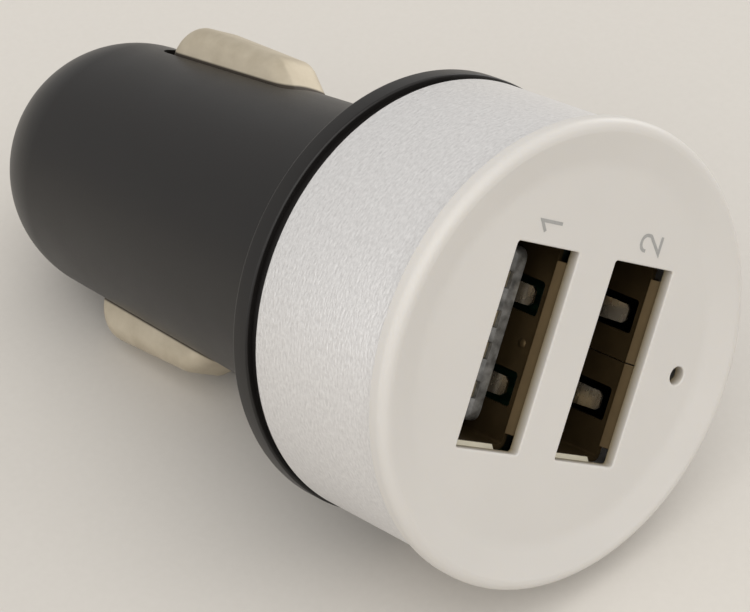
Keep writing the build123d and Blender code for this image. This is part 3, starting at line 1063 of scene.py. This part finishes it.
# Round mark pressed into the wide side behind the tongue.
dome_radius = (press_mark_radius**2 + press_mark_height**2) / (2 * press_mark_height)
reach = degrees(asin(press_mark_radius / dome_radius))
path = arc((0, press_mark_height - dome_radius), dome_radius, 90 - reach, 90, steps=6)
path[-1].x = 0
mark = turned(path, segments=32)
place = Matrix.Translation((-half_x, 0, -press_mark_depth))
mark.transform(place @ Matrix.Rotation(pi / 2, 4, "Y"))

# Two legs that stand on the board, one from each narrow side.
near = -port_pitch / 2 + board_face
far = -half_x + shell_wall
outline = rectangle(near, far, -leg_depth - leg_width / 2, -leg_depth + leg_width / 2)
leg = prism(outline, half_y, half_y + shell_wall, on_xz)
legs = joined(leg, moved(leg, Matrix.Translation((0, -port_length - shell_wall, 0))))

shell_mesh = joined(folded_mesh, mark, legs)
print("shell faces", len(shell_mesh.polygons))

# %% [markdown]
# ## Fingers and strips that repeat
# Four fingers in each shell and four strips on each tongue are alike, so one of each is drawn and a small
# tree sets a copy on every point of a start mesh, turned by the point's own attribute.

# %% Repeat tree
repeat_inputs = {"Points": "Geometry", "Piece": "Object", "Finish": "Material"}
repeat_tree, given = new_tree("repeat_on_points", repeat_inputs)
piece_in = tree_node(repeat_tree, "GeometryNodeObjectInfo", Object=given["Piece"])
point_turn = tree_node(repeat_tree, "GeometryNodeInputNamedAttribute", {"data_type": "FLOAT"}, Name="turn")
turn_way = tree_node(repeat_tree, "ShaderNodeCombineXYZ", Z=point_turn.outputs["Attribute"])
copies = tree_node(
    repeat_tree,
    "GeometryNodeInstanceOnPoints",
    Points=given["Points"],
    Instance=piece_in.outputs["Geometry"],
    Rotation=turn_way.outputs[0],
)
end_tree(repeat_tree, copies.outputs[0], given["Finish"])


def repeated(mesh, places, material):
    """Copies of a mesh, at places given as a point and a turn round Z."""
    points = bpy.data.meshes.new("points")
    points.from_pydata([point for point, turn in places], [], [])
    turns = points.attributes.new("turn", "FLOAT", "POINT")
    turns.data.foreach_set("value", [turn for point, turn in places])
    one = linked("one", mesh)
    many = grown(points, repeat_tree, {"Piece": one, "Finish": material})
    bpy.data.objects.remove(one)
    print("copies", len(places), "faces", len(many.polygons))
    return many


# %% Fingers
finger_root_width = 1.7
finger_end_width = 1.2
finger_sheet = 0.24
finger_bulge = 0.42
finger_crest = 0.6
finger_end_gap = 0.7
finger_corner = 0.22

# Spring finger on the +X wall: rooted deep in its window, bent in at a crest, with a round free end.
root = window_top - window_length - shell_wall
length = window_top - finger_end_gap - root
steps = 24
shape = bmesh.new()
rows = []
for step in range(steps + 1):
    share = step / steps
    past_corner = max(0.0, share * length - (length - finger_corner))
    width = finger_root_width + (finger_end_width - finger_root_width) * share
    half = width / 2 - finger_corner + sqrt(max(0.0, finger_corner**2 - past_corner**2))
    rise = min(share / finger_crest, (1 - share) / (1 - finger_crest))
    x = half_x + finger_sheet / 2 - (finger_bulge + finger_sheet / 2) * rise
    z = root + share * length
    rows.append([shape.verts.new((x, half * side, z)) for side in (-1, -0.5, 0, 0.5, 1)])
join_rows(shape, rows)
leaf = finished(shape, "finger")
finger = modified(leaf, "SOLIDIFY", thickness=finger_sheet, offset=0, use_even_offset=True)
finger_places = [((0, side * window_offset, 0), turn) for side in (-1, 1) for turn in (0, pi)]
fingers_mesh = repeated(finger, finger_places, tin_rubbed)

# %% Tongue and back block
insulator_low, insulator_high = plug_box("usb_insulator_2")
tongue_thickness = 1.84
tongue_width = 11.1
tongue_back_gap = 0.66
tongue_front = insulator_high.z
tongue_ramp = 1.05
tongue_corner = 0.7
tongue_edge_round = 0.05
block_length = 2.4
block_clearance = 0.06
block_corner = 0.2
terminal_face = -half_x + tongue_back_gap + tongue_thickness
terminal_sheet = 0.25
terminal_bulge = 0.3
terminal_width = 1.0
terminal_gap = 0.05
terminal_places = (-3.5, -1.0, 1.0, 3.5)
notch_base = tongue_front - 2 * terminal_sheet

block_front = insulator_low.z + block_length
profile = [
    (terminal_face - tongue_thickness, block_front),
    (terminal_face - tongue_thickness, tongue_front),
    (terminal_face - tongue_ramp, tongue_front),
    (terminal_face, tongue_front - tongue_ramp),
    (terminal_face, block_front),
]
tongue = prism(profile, -tongue_width / 2, tongue_width / 2, on_xz)
length = 2 * (tongue_front - block_front)
plan = shifted(rounded_rectangle(tongue_width, length, tongue_corner), 0, tongue_front - length / 2)
tongue = cut(tongue, prism(plan, -port_width, port_width, on_yz), operation="INTERSECT")
notch = rectangle(
    terminal_face - tongue_ramp - terminal_gap,
    terminal_face + cut_margin,
    notch_base,
    tongue_front + cut_margin,
)
half_notch = terminal_width / 2 + terminal_gap
notches = [prism(notch, place - half_notch, place + half_notch, on_xz) for place in terminal_places]
tongue = bevelled(cut(tongue, *notches), tongue_edge_round)
block_sizes = [size - 2 * block_clearance for size in (port_width, port_length)]
block = rounded_rectangle(*block_sizes, block_corner)
insulator_mesh = joined(tongue, prism(block, insulator_low.z, block_front, on_xy))
print("tongue and block faces", len(insulator_mesh.polygons))

# %% Terminal strips
tip_round = 0.06
tip_bend = 0.1
bow_round = 0.5
heel_round = 1.0
tail_round = 0.2

# One gilt strip: a tip bent into its notch, a bowed spring, a straight run and a tail to the board.
tail_rear = plug_box("usb_contact_2_1")[0].z
board_side = board_face - port_pitch / 2
tip_base = notch_base + terminal_gap
tip_front = tip_base + terminal_sheet
bow_top = tip_base - 2 * terminal_bulge
bow_base = bow_top - 4 * terminal_bulge
outer_face = terminal_face + terminal_sheet
profile = rounded_path([
    (terminal_face, tip_base, 0),
    (terminal_face - tongue_ramp, tip_base, 0),
    (terminal_face - tongue_ramp, tip_front, tip_round),
    (terminal_face + terminal_sheet / 2, tip_front, tip_bend),
    (outer_face + terminal_bulge, bow_top, bow_round),
    (outer_face, bow_base, heel_round),
    (outer_face, tail_rear, tail_round),
    (board_side, tail_rear, 0),
    (board_side, tail_rear + terminal_sheet, 0),
    (terminal_face, tail_rear + terminal_sheet, 0),
])
strip = bevelled(prism(profile, -terminal_width / 2, terminal_width / 2, on_xz), sheet_edge_round)
strips_mesh = repeated(strip, [((0, place, 0), 0) for place in terminal_places], terminal_gold)

# %% Both sockets
right_place = Matrix.Translation((port_pitch / 2, 0, 0))
for port, place in ((1, half_turn @ right_place), (2, right_place)):
    strips = [f"usb_contact_{port}_{number}" for number in range(1, len(terminal_places) + 1)]
    parts = [
        ("shell", shell_mesh, shell_tinned, "shell_tinned", [f"usb_shell_{port}"], 20),
        ("end_lips", end_lips_mesh, painted_lit_tin, "shell_tinned", [], 20),
        ("fingers", fingers_mesh, tin_rubbed, "shell_tinned", [], 35),
        ("tongue", insulator_mesh, insulator_grey, "insulator_grey", [f"usb_insulator_{port}"], 35),
        ("strips", strips_mesh, terminal_gold, "terminal_gold", strips, 35),
    ]
    for name, mesh, finish, slot, nodes, sharp in parts:
        add_piece(f"socket_{port}_{name}", moved(mesh, place), finish, nodes=nodes, sharp=sharp)

# %% [markdown]
# ## What is inside
# The board and its parts can't be seen while the plug is closed, so their solids stay as they are. Each
# still gets the finish of the real thing: solder mask with tracks, moulded resin, ferrite, fired ceramic,
# drawn cans and tinned wire. The solder mask is darkened nearly to black as painted shade.

# %% Inner finishes
# Green solder mask with lighter tracks under it, darkened nearly to black as painted shade.
finish = Finish("board_green")
speckle = finish.noise(scale=3.0, detail=3.0)
wave = {"Vector": finish.point, "Scale": 0.35, "Distortion": 1.5}
tracks = finish.node("ShaderNodeTexWave", {"bands_direction": "Y"}, wave, output=1)
track_edge = 0.72
board_green = finish.surface(
    # Painted shade: both greens are close to black, for the dark seen through the sockets' windows.
    Base_Color=finish.mix(tracks > track_edge, (0.002, 0.009, 0.004), (0.004, 0.018, 0.008)),
    Roughness=0.32 + 0.12 * speckle,
    Normal=finish.bump(tracks, depth=0.02, strength=0.4),
)

resin = {"detail": 2.0, "Transmission_Weight": 0.35}
inner_finishes = {
    "board_green": board_green,
    "led_clear": make_mottled(
        "led_clear", (0.62, 0.60, 0.56), (0.74, 0.72, 0.68), 0.8, (0.08, 0.16), **resin
    ),
}
speckled = {
    "lead_tinned": ((0.50, 0.50, 0.50), (0.66, 0.66, 0.65), 4.0, (0.30, 0.42), 0.9),
    "chip_black": ((0.018, 0.018, 0.019), (0.032, 0.032, 0.032), 6.0, (0.50, 0.62), 0.0),
    "ferrite_grey": ((0.06, 0.06, 0.062), (0.11, 0.11, 0.11), 5.0, (0.55, 0.67), 0.0),
    "fuse_cream": ((0.52, 0.44, 0.30), (0.64, 0.55, 0.39), 3.0, (0.45, 0.57), 0.0),
    "can_aluminium": ((0.58, 0.58, 0.60), (0.74, 0.74, 0.75), 5.0, (0.28, 0.40), 0.9),
}
speckle_relief = (0.008, 0.5)
for name, (*pattern, metallic) in speckled.items():
    inner_finishes[name] = make_mottled(name, *pattern, relief=speckle_relief, Metallic=metallic)

# %% Dress the inner solids
stood_for = {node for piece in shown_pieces() for node in piece.get("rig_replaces", [])}
for subpart in frame["record"]["subparts"]:
    if subpart["node"] not in stood_for:
        solid = frame["nodes"][subpart["node"]]
        solid.data.materials.clear()
        solid.data.materials.append(inner_finishes[subpart["material_slot"]])
        print(subpart["node"], "wears", subpart["material_slot"])

# %% [markdown]
# ## Table, light and background
# The photograph was taken on a pale warm surface, in soft light that leaves only faint shadows. A wide panel
# above the camera lights the plug's face, sleeve and table about alike. A weaker panel on the left lifts the
# sleeve's side, and one on the right gives bright edges to the metal. The sky fills the rest, at a level
# where a colour renders about as it is written.

# %% Table
# Warm pale paper with a barely visible tooth.
finish = Finish("table_pale")
tooth = finish.noise(scale=2.0, detail=3.0)
colour = finish.mix(tooth, (0.63, 0.60, 0.555), (0.66, 0.63, 0.585))
shade = finish.bump(tooth, depth=0.01, strength=0.3)
table_pale = finish.surface(Base_Color=colour, Roughness=0.75, Normal=shade)

table_half = 3.0
table_corners = rectangle(-table_half, table_half, -table_half, table_half)
table_mesh = bpy.data.meshes.new("table")
table_mesh.from_pydata([(*corner, 0) for corner in table_corners], [], [(0, 1, 2, 3)])
table_mesh.materials.append(table_pale)
table = linked("table", table_mesh)

# %% Lights
daylight = (1.0, 0.985, 0.965)
sky_strength = 0.6
panels = {
    "front_window": ((-0.15, -0.46, 0.75), 1.10, 5.7),
    "left_fill": ((-0.75, 0.15, 0.35), 0.60, 1.2),
    "right_window": ((0.85, 0.12, 0.22), 0.40, 1.8),
}
for name, (place, size, power) in panels.items():
    light = bpy.data.lights.new(name, "AREA")
    light.size = size
    light.energy = power
    light.color = daylight
    panel = linked(name, light)
    panel.location = place
    panel.rotation_euler = (-Vector(place)).to_track_quat("-Z", "Y").to_euler()
    print(name, "aims at the plug from", place)

world = bpy.data.worlds.new("sky")
world.use_nodes = True
sky = world.node_tree.nodes["Background"]
sky.inputs["Color"].default_value = (*daylight, 1)
sky.inputs["Strength"].default_value = sky_strength
scene.world = world
scene.view_settings.view_transform = "Standard"
